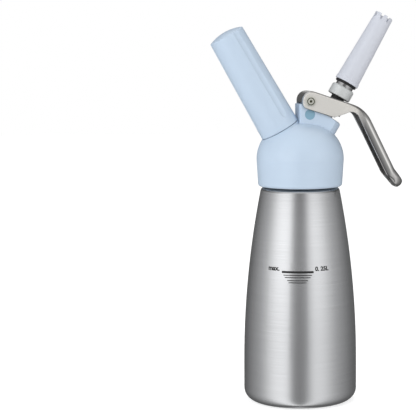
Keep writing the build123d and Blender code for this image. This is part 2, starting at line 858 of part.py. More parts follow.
def make_check_valve_cage():
    low = cage_place
    high = cage_place + cage_thickness
    cage = ring(check_chamber_radius, check_stem_radius + check_fit, low, high)
    for index in range(cage_hole_count):
        turn = Rot(0, 0, index * 360 / cage_hole_count)
        cage -= turn * Pos(cage_hole_circle, 0, 0) * rod(cage_hole_radius, low - 1, high + 1)
    return holder_frame * cage


def make_check_valve_spring():
    low = cage_place + cage_thickness + spring_seat_gap
    high = check_disc_top() - check_disc_thickness - spring_seat_gap
    return holder_frame * coil_spring(check_spring_radius, check_spring_wire, check_spring_coils, low, high)


def charger_skin(inwards, low):
    """The charger's outer form, moved inwards by its wall."""
    neck = charger_neck_radius - inwards
    body = charger_radius - inwards
    shoulder_low = charger_tip + charger_neck_length
    shoulder_high = shoulder_low + charger_shoulder
    middle = ((neck + body) / 2, (shoulder_low + shoulder_high) / 2)
    dome_low = charger_end - charger_radius
    slant = body * sin(radians(45))
    edges = [
        Line((0, low), (neck, low)),
        Line((neck, low), (neck, shoulder_low)),
        Spline((neck, shoulder_low), middle, (body, shoulder_high), tangents=((0, 1), (0, 1))),
        Line((body, shoulder_high), (body, dome_low)),
        ThreePointArc((body, dome_low), (slant, dome_low + slant), (0, dome_low + body)),
        Line((0, dome_low + body), (0, low)),
    ]
    return turned(make_face(edges))


def make_gas_charger():
    shell = charger_skin(0, charger_tip) - charger_skin(charger_wall, charger_tip + charger_hole_depth)
    hole = rod(charger_hole_radius, charger_tip - 1, charger_tip + charger_hole_depth + 1)
    return holder_frame * (shell - hole)


# ---------------------------------------------------------------- charger holder
def make_holder_insert():
    """Metal ring inside the holder's mouth that carries its thread."""
    body = ring(insert_radius, insert_bore, holder_base, holder_base + insert_length)
    crest = insert_bore - holder_thread_height
    start = holder_base + holder_thread_pitch
    ridge = thread_ridge(insert_bore, crest, holder_thread_pitch, holder_thread_turns, start)
    return holder_frame * (body + ridge)


def make_charger_holder():
    top = holder_end + holder_dome
    edges = [
        Line((0, holder_base), (holder_base_radius, holder_base)),
        Line((holder_base_radius, holder_base), (holder_end_radius, holder_end)),
        RadiusArc((holder_end_radius, holder_end), (0, top), -cap_radius(holder_end_radius, holder_dome)),
        Line((0, top), (0, holder_base)),
    ]
    face = make_face(edges)
    rim = face.vertices().sort_by_distance((holder_base_radius, holder_base, 0))[0]
    face = fillet(rim, holder_rim_round)
    corner = face.vertices().sort_by_distance((holder_end_radius, holder_end, 0))[0]
    body = turned(fillet(corner, holder_end_round))
    body -= rod(insert_radius, holder_base - 1, holder_base + insert_length)
    dome_low = charger_end - charger_radius
    body -= rod(holder_bore, holder_base, dome_low) + Pos(0, 0, dome_low) * Sphere(holder_bore)
    reach = holder_base_radius + flute_radius - flute_depth
    length = holder_end - flute_start + 4 * holder_dome
    flute = rod(flute_radius, 0, length) + Sphere(flute_radius)
    out = reach - (flute_start - holder_base) * tan(radians(holder_taper))
    flute = Pos(out, 0, flute_start) * Rot(0, -holder_taper, 0) * flute
    for index in range(flute_count):
        body -= Rot(0, 0, flute_angle + index * 360 / flute_count) * flute
    return holder_frame * body


# ---------------------------------------------------------------- the pieces and their files
pieces = {
    "bottle": make_bottle,
    "head_gasket": make_head_gasket,
    "head_casting": make_head_casting,
    "side_plugs": make_side_plugs,
    "pivot_pin": make_pivot_pin,
    "pivot_clip": make_pivot_clip,
    "lever": make_lever,
    "valve_bush": make_valve_bush,
    "stem_o_ring": make_stem_o_ring,
    "valve_stem": make_valve_stem,
    "valve_seal": make_valve_seal,
    "valve_washer": make_valve_washer,
    "valve_nut": make_valve_nut,
    "thrust_collar": make_thrust_collar,
    "stem_sleeve": make_stem_sleeve,
    "valve_spring": make_valve_spring,
    "tip_adapter": make_tip_adapter,
    "tip_ring": make_tip_ring,
    "decorator_tip": make_decorator_tip,
    "charger_spigot": make_charger_spigot,
    "piercing_pin": make_piercing_pin,
    "piercer_seal": make_piercer_seal,
    "inlet_check_valve": make_check_valve,
    "check_valve_cage": make_check_valve_cage,
    "check_valve_spring": make_check_valve_spring,
    "gas_charger": make_gas_charger,
    "holder_insert": make_holder_insert,
    "charger_holder": make_charger_holder,
}

os.makedirs("parts", exist_ok=True)
for name, make in pieces.items():
    export_step(make(), f"parts/{name}.step")
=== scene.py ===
"""Looks of the whipped cream dispenser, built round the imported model. Metres, +Z up, bottle on Z = 0."""
import math

import bpy
import bmesh
from mathutils import Matrix, Vector


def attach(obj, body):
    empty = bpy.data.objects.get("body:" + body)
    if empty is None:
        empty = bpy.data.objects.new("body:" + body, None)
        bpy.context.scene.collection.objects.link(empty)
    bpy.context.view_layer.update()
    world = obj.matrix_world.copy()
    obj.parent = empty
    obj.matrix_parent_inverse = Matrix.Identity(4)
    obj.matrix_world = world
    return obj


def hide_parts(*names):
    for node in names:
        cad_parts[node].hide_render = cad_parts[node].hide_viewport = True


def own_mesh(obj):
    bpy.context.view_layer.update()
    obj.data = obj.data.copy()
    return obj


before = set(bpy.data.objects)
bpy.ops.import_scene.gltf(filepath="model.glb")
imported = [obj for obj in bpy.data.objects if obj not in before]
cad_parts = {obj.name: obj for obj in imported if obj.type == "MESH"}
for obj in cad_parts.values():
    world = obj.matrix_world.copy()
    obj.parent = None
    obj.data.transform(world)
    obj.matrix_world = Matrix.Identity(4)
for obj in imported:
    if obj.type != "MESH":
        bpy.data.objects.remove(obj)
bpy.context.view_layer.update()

MM = 0.001
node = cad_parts

# ---------------------------------------------------------------- places taken over from the frame
lean = math.radians(30)
crossing = Vector((0, 0, 148.4 * MM))
valve_axis = Vector((math.sin(lean), 0, math.cos(lean)))
holder_axis = Vector((-math.sin(lean), 0, math.cos(lean)))
pivot = Vector((4.65 * MM, 0, 188.0 * MM))


def along(axis, distance_mm):
    """A point on one of the two leaning axes, this far from where they cross."""
    return crossing + axis * distance_mm * MM


def step(point, slope, length):
    """Seen from the side, the point at this distance on a line that falls to the right."""
    turn = math.radians(slope)
    return (point[0] + length * math.cos(turn), point[1] - length * math.sin(turn))


def meet(point_a, slope_a, point_b, slope_b):
    """Where two sloping lines cross."""
    ax, az = step((0, 0), slope_a, 1)
    bx, bz = step((0, 0), slope_b, 1)
    dx, dz = point_b[0] - point_a[0], point_b[1] - point_a[1]
    reach = (dx * bz - dz * bx) / (ax * bz - az * bx)
    return (point_a[0] + reach * ax, point_a[1] + reach * az)


# ---------------------------------------------------------------- the lever's sizes
# Lengths in mm, slopes in degrees falling to the right. They are the solid's, to within 0.8 mm and
# 0.6 degrees, apart from the rounder throat.
sheet = 1.2
lever_half = 10.8                       # half the width across the cheeks
handle_half = 7.5
tail_back = 5.3                         # from the pivot back to the rear edge
web_rise, web_slope = 6.45, 18.2
belly_drop, belly_slope, belly_reach = 5.1, 17.9, 17.3
throat_slope = 18.6
bend_reach = 35.7
handle_slope, handle_length, handle_depth = 63.6, 42.0, 6.7
flare_slope, flare_length, flare_depth = 52.0, 11.4, 6.6
tail_top_round, tail_low_round, bend_round, flare_round = 5.9, 3.6, 20.0, 6.0
throat_round, belly_round = 5.5, 8.0
neck_in_start, neck_in_end, neck_in_round = 21.5, 36.0, 12.0
wrap_drop = 0.7                         # the web ends this far below the pivot at the rear
solid_end = 6.5                         # the channel stops this far before the lever's end
channel_run_out = 4.0                   # over this length the channel gets shallow
cheek_fold, handle_fold = 2.0, 3.5      # outer radius of the folds
rim_round, lip_round, pad_round = 0.55, 0.3, 2.2
hollow_from = 35                        # the first point of a half section that lies in the hollow
nose_top, nose_low = 3.0, 2.9           # rounding of the end, seen from the side

pivot_side = (pivot.x / MM, pivot.z / MM)
web_top = step(pivot_side, web_slope - 90, web_rise)
web_bend = step(web_top, web_slope, bend_reach)


# ---------------------------------------------------------------- modelling helpers
def select_only(obj):
    bpy.ops.object.select_all(action="DESELECT")
    obj.select_set(True)
    bpy.context.view_layer.objects.active = obj
    return obj


def apply_place(obj):
    """Moves the object's place, turn and scale into its mesh."""
    select_only(obj)
    bpy.ops.object.transform_apply(location=True, rotation=True, scale=True)
    return obj


def apply_modifiers(obj):
    select_only(obj)
    for modifier in list(obj.modifiers):
        bpy.ops.object.modifier_apply(modifier=modifier.name)
    return obj


def smooth(obj, degrees):
    select_only(obj)
    bpy.ops.object.shade_smooth_by_angle(angle=math.radians(degrees))
    return obj


def frame_along(axis):
    """Turns local Z to one of the leaning axes, with local Y kept along Y."""
    local_x = Vector((0, 1, 0)).cross(axis)
    return Matrix((local_x, Vector((0, 1, 0)), axis)).transposed().to_4x4()


# ---------------------------------------------------------------- node helpers
def add_node(tree, kind, **inputs):
    """A node with each input linked, where a socket is given, or set."""
    made = tree.nodes.new(kind)
    for name, value in inputs.items():
        target = made.inputs[name.replace("_", " ")]
        if isinstance(value, bpy.types.NodeSocket):
            tree.links.new(value, target)
        else:
            target.default_value = value
    return made


def maths_node(tree, operation, *values):
    made = tree.nodes.new("ShaderNodeMath")
    made.operation = operation
    for socket, value in zip(made.inputs, values):
        if isinstance(value, bpy.types.NodeSocket):
            tree.links.new(value, socket)
        else:
            socket.default_value = value
    return made.outputs[0]


class Finish:
    """A material with one Principled shader and short calls for the nodes in front of it."""

    def __init__(self, name, colour, metallic=0.0, roughness=0.4):
        self.material = bpy.data.materials.new(name)
        self.material.use_nodes = True
        self.tree = self.material.node_tree
        self.shader = self.tree.nodes["Principled BSDF"]
        self.set("Base Color", (*colour, 1))
        self.set("Metallic", metallic)
        self.set("Roughness", roughness)

    def set(self, socket, value):
        self.shader.inputs[socket].default_value = value

    def add(self, kind, **inputs):
        return add_node(self.tree, kind, **inputs)

    def maths(self, operation, *values):
        return maths_node(self.tree, operation, *values)

    def link(self, output, socket):
        self.tree.links.new(output, self.shader.inputs[socket])

    def place(self, scale=(1, 1, 1), turn=(0, 0, 0), centre=(0, 0, 0)):
        """Object coordinates, turned and stretched about a centre."""
        source = self.add("ShaderNodeTexCoord").outputs["Object"]
        moved = self.add("ShaderNodeVectorMath", Vector=source)
        moved.operation = "SUBTRACT"
        moved.inputs[1].default_value = centre
        mapping = self.add("ShaderNodeMapping", Vector=moved.outputs[0])
        mapping.inputs["Rotation"].default_value = turn
        mapping.inputs["Scale"].default_value = scale
        return mapping.outputs[0]

    def noise(self, vector, detail, roughness=0.5):
        """Noise with one feature to each unit of the vector."""
        made = self.add("ShaderNodeTexNoise", Vector=vector, Scale=1.0, Detail=detail, Roughness=roughness)
        return made.outputs["Fac"]

    def span(self, value, low, high, new_low, new_high):
        made = self.add("ShaderNodeMapRange", Value=value)
        ends = {"From Min": low, "From Max": high, "To Min": new_low, "To Max": new_high}
        for name, number in ends.items():
            made.inputs[name].default_value = number
        return made.outputs["Result"]

    def tint(self, value, dark, light):
        """A colour between two, by a value from 0 to 1."""
        mix = self.add("ShaderNodeMix")
        mix.data_type = "RGBA"
        self.tree.links.new(value, mix.inputs["Factor"])
        for socket, colour in ((mix.inputs[6], dark), (mix.inputs[7], light)):
            if isinstance(colour, bpy.types.NodeSocket):
                self.tree.links.new(colour, socket)
            else:
                socket.default_value = (*colour, 1)
        return mix.outputs[2]

    def part(self, letter, turn=(0, 0, 0), centre=(0, 0, 0)):
        """One of the turned object coordinates, in metres from the centre."""
        return self.add("ShaderNodeSeparateXYZ", Vector=self.place(turn=turn, centre=centre)).outputs[letter]

    def band(self, value, start_mm, end_mm):
        """From 0 below the start to 1 above the end."""
        return self.span(value, start_mm * MM, end_mm * MM, 0.0, 1.0)

    def fade(self, value, start_mm, end_mm):
        """From 1 below the start to 0 above the end."""
        return self.span(value, start_mm * MM, end_mm * MM, 1.0, 0.0)

    def both(self, first, second):
        return self.maths("MULTIPLY", first, second)

    def either(self, first, second):
        return self.maths("MAXIMUM", first, second)

    def bump(self, height, strength, distance_mm):
        made = self.add("ShaderNodeBump", Height=height, Strength=strength, Distance=distance_mm * MM)
        self.link(made.outputs["Normal"], "Normal")


def srgb(red, green, blue):
    """A colour written as it looks on screen, 0 to 255, as the linear values that shaders take."""
    def linear(value):
        value /= 255
        return value / 12.92 if value <= 0.04045 else ((value + 0.055) / 1.055) ** 2.4
    return (linear(red), linear(green), linear(blue))


def shade(colour, share):
    return tuple(share * channel for channel in colour)


# ---------------------------------------------------------------- finishes
def turned_metal(name, colour, centre, axis_turn, roughness, anisotropic, line_mm, shoulder_mm=None):
    """Metal finished on a lathe: fine rings round an axis, with a streaked sheen along it."""
    made = Finish(name, colour, metallic=1.0, roughness=roughness)
    made.set("Anisotropic", anisotropic)
    rings = made.place(scale=(25, 25, 1000 / line_mm), turn=axis_turn, centre=centre)
    lines = made.noise(rings, detail=4.0, roughness=0.65)
    patches = made.noise(made.place(scale=(60, 60, 18), turn=axis_turn, centre=centre), detail=2.0)
    streaks = made.span(lines, 0.3, 0.7, 0.0, 1.0)
    streaked = made.tint(streaks, shade(colour, 0.95), shade(colour, 1.05))
    # painted shade on the bottle's shoulder and in the joint under the head
    if shoulder_mm:
        streaked = painted_shoulder_shade(made, streaked, shoulder_mm)
    made.link(streaked, "Base Color")
    made.link(made.maths("MULTIPLY_ADD", patches, 0.04, roughness - 0.02), "Roughness")
    made.bump(lines, 0.15, 0.006)
    tangent = made.add("ShaderNodeTangent")
    tangent.direction_type = "RADIAL"
    tangent.axis = "Z"
    made.link(tangent.outputs[0], "Tangent")
    return made.material


def painted_shoulder_shade(made, colour, shoulder_mm):
    """Painted shade: darkens a bottle's shoulder, and still more the ledge above it in the joint under the
    head, but not the neck.
    """
    shoulder_shade, ledge_shade = (0.42, 0.43, 0.44), (0.22, 0.225, 0.23)
    height = made.part("Z")
    below_neck = made.fade(height, shoulder_mm + 2.35, shoulder_mm + 2.5)
    shoulder = made.both(below_neck, made.band(height, shoulder_mm, shoulder_mm + 0.9))
    ledge = made.both(below_neck, made.band(height, shoulder_mm + 1.8, shoulder_mm + 2.0))
    return made.tint(ledge, made.tint(shoulder, colour, shoulder_shade), ledge_shade)


def brushed_sheet(name, colour, roughness, grain_scale):
    """Sheet metal with a long straight grain."""
    made = Finish(name, colour, metallic=1.0, roughness=roughness)
    grain = made.noise(made.place(scale=grain_scale), detail=4.0, roughness=0.7)
    smudge = made.noise(made.place(scale=(70, 70, 70)), detail=3.0)
    lines = made.span(grain, 0.3, 0.7, 0.0, 1.0)
    made.link(made.tint(lines, shade(colour, 0.95), shade(colour, 1.05)), "Base Color")
    made.link(made.span(smudge, 0.3, 0.7, roughness - 0.05, roughness + 0.06), "Roughness")
    made.bump(grain, 0.25, 0.006)
    return made.material


def painted(name, colour):
    """Baked semi-gloss paint: faint mottling and a fine orange peel."""
    made = Finish(name, colour, roughness=0.38)
    made.set("Coat Weight", 0.25)
    made.set("Coat Roughness", 0.25)
    mottle = made.noise(made.place(scale=(90, 90, 90)), detail=3.0)
    made.link(made.tint(mottle, shade(colour, 0.97), shade(colour, 1.02)), "Base Color")
    peel = made.noise(made.place(scale=(900, 900, 900)), detail=2.0)
    made.link(made.span(mottle, 0.3, 0.7, 0.34, 0.42), "Roughness")
    made.bump(peel, 0.12, 0.03)
    return made.material


def moulded(name, colour, roughness, bump=0.1):
    """Moulded plastic or rubber with a fine grain."""
    grain_mm = 0.5
    made = Finish(name, colour, roughness=roughness)
    cloud = made.noise(made.place(scale=(120, 120, 120)), detail=3.0)
    made.link(made.tint(cloud, shade(colour, 0.96), shade(colour, 1.03)), "Base Color")
    grain = made.noise(made.place(scale=(1000 / grain_mm,) * 3), detail=2.0)
    made.link(made.span(grain, 0.3, 0.7, roughness - 0.04, roughness + 0.05), "Roughness")
    made.bump(grain, bump, 0.02)
    return made.material


def lever_finish():
    """Satin cheeks and a polished tail and handle, with painted shade on the web, the tail and a band along
    the handle's side, a painted shadow line along the cheeks' lower edge and a painted highlight along the
    handle's rim; the end pad is darker.
    """
    # painted light and shade: web_shade, tail_shade, edge_shadow, the band along the handle's side and the
    # lip's highlight
    satin, web_shade, polished = (0.76, 0.74, 0.70), (0.30, 0.29, 0.28), (0.95, 0.94, 0.92)
    tail_shade, pad_tint, edge_shadow = (0.54, 0.54, 0.54), (0.63, 0.62, 0.61), (0.10, 0.10, 0.10)
    shade_band_low, shade_band_high, lip_highlight = (0.14, 0.14, 0.145), (0.40, 0.40, 0.39), (0.66, 0.65, 0.65)
    made = Finish("Satin and polished lever", satin)

    # where each zone lies, from 0 outside it to 1 inside
    forward = made.part("X")
    tail = made.fade(forward, 3.0, 5.0)
    handle = made.band(forward, 34.5, 40)
    pad = made.band(forward, 55.5, 58.0)
    before_pad = made.both(handle, made.maths("SUBTRACT", 1.0, pad))
    bend_point = (web_bend[0] * MM, 0, web_bend[1] * MM)
    above_web = made.part("Z", (0, math.radians(-handle_slope), 0), bend_point)
    # painted shade: a dark band along the handle's side, darkest near the open rim
    flank = made.both(before_pad, made.fade(above_web, -3.4, -2.8))
    # painted highlight: a bright line along the handle's open rim
    lip = made.both(before_pad, made.fade(above_web, 0.35 - handle_depth, 0.7 - handle_depth))
    # painted shadow: a near-black line along the cheeks' lower edge, for the shadow between lever and head
    below_pivot = made.part("Z", (0, math.radians(180 - belly_slope), 0), pivot)
    belly = made.band(below_pivot, belly_drop - 0.45, belly_drop - 0.15)
    edge = made.both(belly, made.maths("SUBTRACT", 1.0, handle))
    narrowing = made.span(forward, pivot.x + neck_in_start * MM, pivot.x + neck_in_end * MM,
                          0.0, (lever_half - handle_half) * MM)
    sideways = made.maths("ADD", made.maths("ABSOLUTE", made.part("Y")), narrowing)
    web = made.fade(sideways, lever_half - 0.5, lever_half - 0.2)
    metal = made.either(handle, web)

    grain = made.noise(made.place(scale=(900, 900, 900)), detail=3.0, roughness=0.6)
    streaks = made.noise(made.place(scale=(60, 1500, 60)), detail=4.0, roughness=0.7)
    cheek = made.tint(grain, shade(satin, 0.97), shade(satin, 1.03))
    bright = made.tint(streaks, shade(polished, 0.96), shade(polished, 1.03))
    # painted shade: the web, apart from the handle and tail, takes the darker web colour
    top = made.tint(made.either(handle, tail), web_shade, bright)
    # painted shade: the tail is darker than the rest of the polished metal; the end pad is darker too
    darker_ends = made.tint(made.either(tail, pad), top, made.tint(pad, tail_shade, pad_tint))
    plain = made.tint(metal, cheek, darker_ends)
    flank_colour = made.tint(made.band(above_web, -6.0, -3.4), shade_band_low, shade_band_high)
    shaded = made.tint(lip, made.tint(flank, plain, flank_colour), lip_highlight)
    made.link(made.tint(edge, shaded, edge_shadow), "Base Color")
    made.link(made.span(metal, 0.0, 1.0, 0.5, 1.0), "Metallic")
    made.link(made.span(metal, 0.0, 1.0, 0.5, 0.17), "Roughness")
    made.bump(made.both(grain, made.span(metal, 0.0, 1.0, 1.0, 0.1)), 0.2, 0.01)
    return made.material


def blasted_collar():
    """Bead-blasted collar with a polished neck above it, and its underside painted near black as shade."""
    made = Finish("Bead-blasted collar", (0.8, 0.8, 0.8))
    height = made.part("Z", valve_turn, crossing)
    above_face = made.band(height, 48.1, 48.5)      # up from the collar's underside
    neck = made.band(height, 55.1, 55.4)
    speckle = made.noise(made.place(scale=(1600, 1600, 1600)), detail=3.0, roughness=0.7)
    blasted = made.tint(speckle, (0.60, 0.62, 0.62), (0.80, 0.82, 0.82))
    upper = made.tint(neck, blasted, (0.55, 0.55, 0.56))
    # painted shade: below the collar's underside face the colour is near black
    made.link(made.tint(above_face, (0.015, 0.015, 0.016), upper), "Base Color")
    made.link(made.span(neck, 0.0, 1.0, 0.5, 1.0), "Metallic")
    made.link(made.span(neck, 0.0, 1.0, 0.5, 0.16), "Roughness")
    made.bump(speckle, 0.25, 0.02)
    return made.material


def pin_finish():
    """Turned pin, with painted shade in the ring groove and the recess of its head."""
    made = Finish("Turned pin", (0.6, 0.6, 0.55), metallic=0.6, roughness=0.4)
    across = made.part("X", centre=pivot)
    upwards = made.part("Z", centre=pivot)
    away = made.add("ShaderNodeCombineXYZ", X=across, Z=upwards)
    length = made.add("ShaderNodeVectorMath", Vector=away.outputs[0])
    length.operation = "LENGTH"
    radius = length.outputs["Value"]
    groove = made.both(made.band(radius, 1.75, 1.95), made.fade(radius, 2.25, 2.45))
    recess = made.fade(radius, 0.7, 0.9)
    rings = made.noise(made.place(scale=(300, 300, 300)), detail=3.0)
    metal = made.tint(rings, (0.55, 0.55, 0.49), (0.68, 0.68, 0.62))
    # painted shade: the groove and the recess are near black
    made.link(made.tint(made.either(groove, recess), metal, (0.075, 0.075, 0.045)), "Base Color")
    made.bump(rings, 0.1, 0.01)
    return made.material


upright_turn = (0, 0, 0)
valve_turn = (0, -lean, 0)
holder_turn = (0, lean, 0)

bottle_metal = turned_metal("Brushed aluminium bottle", (0.85, 0.86, 0.88), (0, 0, 0), upright_turn,
                            0.20, 0.75, 0.35, shoulder_mm=132.4)
stem_metal = turned_metal("Turned stem", (0.70, 0.70, 0.69), crossing, valve_turn, 0.3, 0.5, 0.25)
dark_metal = turned_metal("Blackened collar", (0.05, 0.05, 0.05), crossing, valve_turn, 0.4, 0.3, 0.25)
collar_metal = blasted_collar()
spigot_metal = turned_metal("Turned spigot", (0.78, 0.78, 0.77), crossing, holder_turn, 0.3, 0.4, 0.25)
charger_metal = turned_metal("Drawn charger steel", (0.66, 0.66, 0.67), crossing, holder_turn, 0.22, 0.3, 0.6)
brass = turned_metal("Turned brass", (0.78, 0.60, 0.32), crossing, valve_turn, 0.3, 0.3, 0.25)
spring_wire = turned_metal("Spring wire", (0.52, 0.52, 0.52), crossing, valve_turn, 0.3, 0.2, 0.3)
pin_steel = pin_finish()
lever_steel = lever_finish()
# painted shade: the inside of the lever's channel is a darker steel than its outside
hollow_shade_steel = brushed_sheet("Shaded hollow of the lever", (0.30, 0.30, 0.295), 0.42, (60, 1500, 60))
blue_paint = painted("Pale blue paint", srgb(193, 210, 228))
plug_teal = moulded("Teal plug", srgb(130, 168, 188), 0.45)
tip_white = moulded("White tip plastic", srgb(206, 209, 218), 0.36)
black_rubber = moulded("Black rubber", (0.012, 0.012, 0.013), 0.5)
pale_rubber = moulded("Pale gasket rubber", (0.62, 0.62, 0.60), 0.6)
mark_ink = moulded("Printed mark", (0.012, 0.012, 0.012), 0.5, bump=0.02)

finish_of_node = {
    "bottle": bottle_metal, "head_gasket": pale_rubber, "head_casting": blue_paint, "side_plugs": plug_teal,
    "pivot_pin": pin_steel, "pivot_clip": spring_wire, "lever": lever_steel, "valve_bush": brass,
    "stem_o_ring": black_rubber, "valve_stem": stem_metal, "valve_seal": pale_rubber,
    "valve_washer": stem_metal, "valve_nut": brass, "thrust_collar": dark_metal,
    "stem_sleeve": black_rubber,
    "valve_spring": spring_wire, "tip_adapter": collar_metal, "tip_ring": black_rubber,
    "decorator_tip": tip_white, "charger_spigot": spigot_metal, "piercing_pin": spigot_metal,
    "piercer_seal": pale_rubber, "inlet_check_valve": brass, "check_valve_cage": brass,
    "check_valve_spring": spring_wire, "gas_charger": charger_metal, "holder_insert": spigot_metal,
    "charger_holder": blue_paint,
}


def finish_nodes():
    for name, material in finish_of_node.items():
        mesh = node[name].data
        mesh.materials.clear()
        mesh.materials.append(material)


finish_nodes()

# ---------------------------------------------------------------- lever
class Path:
    """Straight runs joined by tangent arcs, seen from the side, with points found by length."""

    def __init__(self, corners, radii):
        corners = [Vector(corner) for corner in corners]
        self.points = [corners[0]]
        for before, corner, after, radius in zip(corners, corners[1:], corners[2:], radii):
            back, ahead = (before - corner).normalized(), (after - corner).normalized()
            half = back.angle(ahead) / 2
            start = corner + back * radius / math.tan(half)
            centre = corner + (back + ahead).normalized() * radius / math.sin(half)
            arm, last = start - centre, corner + ahead * radius / math.tan(half) - centre
            sweep = math.copysign(math.pi - 2 * half, arm.x * last.y - arm.y * last.x)
            self.points += [centre + Matrix.Rotation(sweep * part / 24, 2) @ arm for part in range(25)]
        self.points.append(corners[-1])
        self.places = [0.0]
        for before, after in zip(self.points, self.points[1:]):
            self.places.append(self.places[-1] + (after - before).length)
        self.length = self.places[-1]

    def at(self, place):
        """The point at this length along the path."""
        index = max(1, sum(1 for known in self.places if known < place))
        index = min(index, len(self.points) - 1)
        low, high = self.places[index - 1], self.places[index]
        return self.points[index - 1].lerp(self.points[index], (place - low) / max(high - low, 1e-9))

    def place_where(self, test):
        """The first length along the path, to 0.1 mm, whose point passes the test."""
        return next(tenth / 10 for tenth in range(int(self.length * 10)) if test(self.at(tenth / 10)))


def lever_paths():
    """The web's outer line and the open rim's line."""
    rear = (pivot_side[0] - tail_back, pivot_side[1])
    flare = step(web_bend, handle_slope, handle_length)
    end = step(flare, flare_slope, flare_length)
    belly = step(pivot_side, belly_slope + 90, belly_drop)
    belly_end = step(belly, belly_slope, belly_reach)
    handle_open = step(web_bend, handle_slope + 90, handle_depth)
    flare_open = step(flare, flare_slope + 90, flare_depth)
    low_corner = meet(belly, belly_slope, rear, 90)
    low_round = tail_low_round / math.tan(math.radians(45 + belly_slope / 2))
    web = Path(
        [step(low_corner, belly_slope, low_round + 0.05), low_corner, meet(rear, 90, web_top, web_slope),
         web_bend, flare, end],
        [tail_low_round, tail_top_round, bend_round, flare_round],
    )
    rim = Path(
        [step(belly, belly_slope, 1.6), meet(belly_end, -throat_slope, belly, belly_slope),
         meet(handle_open, handle_slope, belly_end, -throat_slope),
         meet(handle_open, handle_slope, flare_open, flare_slope),
         meet(flare_open, flare_slope, end, flare_slope + 90)],
        [belly_round, throat_round, flare_round],
    )
    return web, rim


def lever_stations():
    """Cross-sections: a point on the web, one on the rim, and how far the lever's end is from them."""
    web, rim = lever_paths()
    handle_web = web.place_where(lambda point: point.x > pivot_side[0] + 38.75)
    foot = web.at(handle_web) + Vector(step((0, 0), handle_slope + 90, handle_depth))
    handle_rim = min((tenth / 10 for tenth in range(int(rim.length * 10))),
                     key=lambda place: (rim.at(place) - foot).length)
    # the tail's top, the bend and the handle's start pair up with places on the rim
    web_keys = [
        0,
        web.place_where(lambda point: point.y > 193.65),
        web.place_where(lambda point: point.x > 31.35),
        handle_web,
        web.length,
    ]
    rim_keys = [
        0,
        rim.place_where(lambda point: point.x > 9),
        rim.place_where(lambda point: point.x > 32.75),
        handle_rim,
        rim.length,
    ]
    parts = [[number / count for number in range(count)] for count in (30, 34, 24)]
    nose_share = 0.8
    parts.append([nose_share * number / 60 for number in range(60)] + [
        nose_share + (1 - nose_share) * math.sin(math.pi / 2 * number / 20) for number in range(21)
    ])
    stations = []
    for index, shares in enumerate(parts):
        for share in shares:
            web_place = web_keys[index] + (web_keys[index + 1] - web_keys[index]) * share
            rim_place = rim_keys[index] + (rim_keys[index + 1] - rim_keys[index]) * share
            ahead = web.at(min(web_place + 0.2, web.length)) - web.at(max(web_place - 0.2, 0))
            to_end = web.length - web_place
            stations.append((web.at(web_place), rim.at(rim_place), ahead.normalized(), to_end))
    return stations


def half_width(x):
    """Half the lever's width at a place along X: wide cheeks that narrow to the handle."""
    start, end = pivot_side[0] + neck_in_start, pivot_side[0] + neck_in_end
    fall = math.atan((lever_half - handle_half) / (end - start))
    cut, reach = neck_in_round * math.tan(fall / 2), neck_in_round * math.sin(fall)

    def dip(away):
        return neck_in_round - math.sqrt(neck_in_round ** 2 - away ** 2)
    if x < start - cut:
        return lever_half
    if x < start - cut + reach:
        return lever_half - dip(x - start + cut)
    if x < end + cut - reach:
        return lever_half - math.tan(fall) * (x - start)
    if x < end + cut:
        return handle_half + dip(end + cut - x)
    return handle_half


def arc(centre, radius, start, end, parts):
    """Points of a round corner as (inwards from the cheek, down from the web)."""
    made = []
    for number in range(1, parts + 1):
        turn = math.radians(start + (end - start) * number / parts)
        made.append((centre[0] + radius * math.sin(turn), centre[1] - radius * math.cos(turn)))
    return made


def run(start, end, parts):
    """Evenly spaced points from after the start up to the end."""
    shares = [number / parts for number in range(1, parts + 1)]
    return [(start[0] + (end[0] - start[0]) * share, start[1] + (end[1] - start[1]) * share)
            for share in shares]


def half_section(width, depth, fold, cheek, roof, rim):
    """Half the channel's section, from the middle of the web round to the middle of the hollow."""
    hollow_half, hollow_depth = width - cheek, depth - roof
    lip = min(lip_round, hollow_depth / 2, hollow_half / 2)
    # the fold's inside shares its middle with the outside, so the sheet keeps its thickness
    inner_across = min(max(fold - cheek, 0.3), hollow_half)
    inner_down = min(max(fold - roof, 0.3), 0.8 * hollow_depth)
    points = [(width, 0.0)]
    points += run((width, 0), (fold, 0), 6)
    points += arc((fold, fold), fold, 0, -90, 12)
    points += run((0, fold), (0, depth - rim), 6)
    points += arc((rim, depth - rim), rim, -90, -180, 5)
    points += run((rim, depth), (cheek - lip, depth), 3)
    points += [(cheek - lip + lip * math.sin(turn), depth - lip + lip * math.cos(turn))
               for turn in (math.radians(30 * number) for number in range(1, 4))]
    points += run((cheek, depth - lip), (cheek, roof + inner_down), 5)
    points += [(cheek + inner_across * (1 - math.cos(turn)), roof + inner_down * (1 - math.sin(turn)))
               for turn in (math.radians(9 * number) for number in range(1, 11))]
    points += run((cheek + inner_across, roof), (width, roof), 5)
    return points


